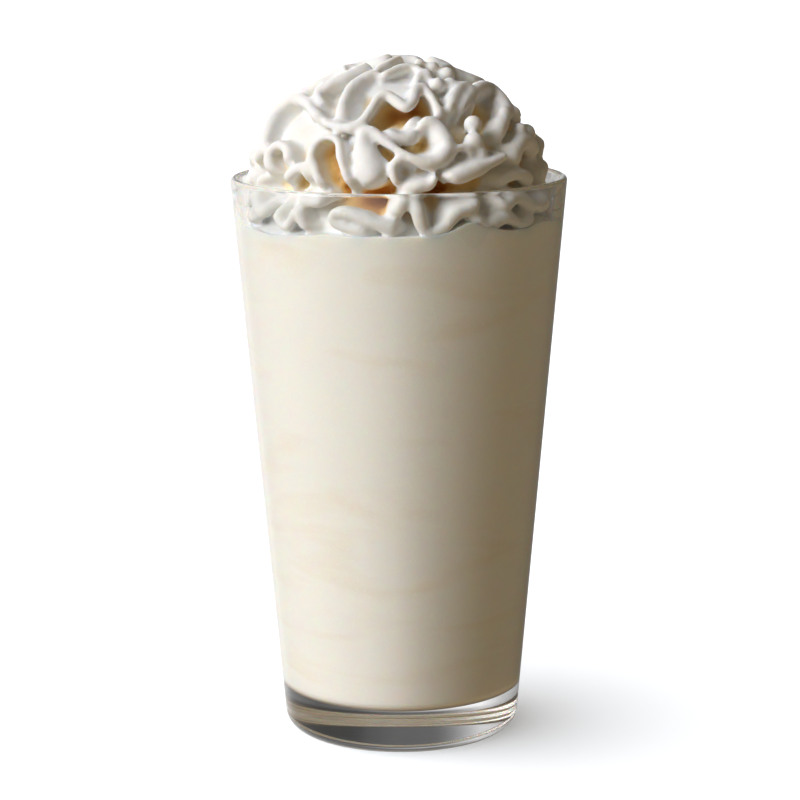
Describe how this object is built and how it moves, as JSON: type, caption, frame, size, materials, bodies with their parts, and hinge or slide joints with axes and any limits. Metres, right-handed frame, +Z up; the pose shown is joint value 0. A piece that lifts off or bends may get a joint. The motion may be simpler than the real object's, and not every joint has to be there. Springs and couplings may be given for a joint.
{
  "type": "vanilla milkshake in a pint glass",
  "caption": "Vanilla milkshake in a clear conical pint glass with a thick base, topped with a ruffled dome of whipped cream that rises above the rim.",
  "frame": {"origin": "on the table, in the middle of the ring that the glass stands on", "axes": "+Z up along the axis of the glass, from the table to the peak of the cream; -Y is the side shown in the picture"},
  "size_m": [0.0888, 0.0888, 0.1825],
  "materials": {
    "glass": "clear, polished, smooth",
    "milkshake": "thick cream-coloured liquid, smooth against the glass",
    "whipped_cream": "soft white cream with a faint sheen, warm in its folds"
  },
  "bodies": {
    "root": {"glass": "glass", "milkshake": "milkshake", "whipped_cream": "whipped_cream"}
  },
  "joints": []
}
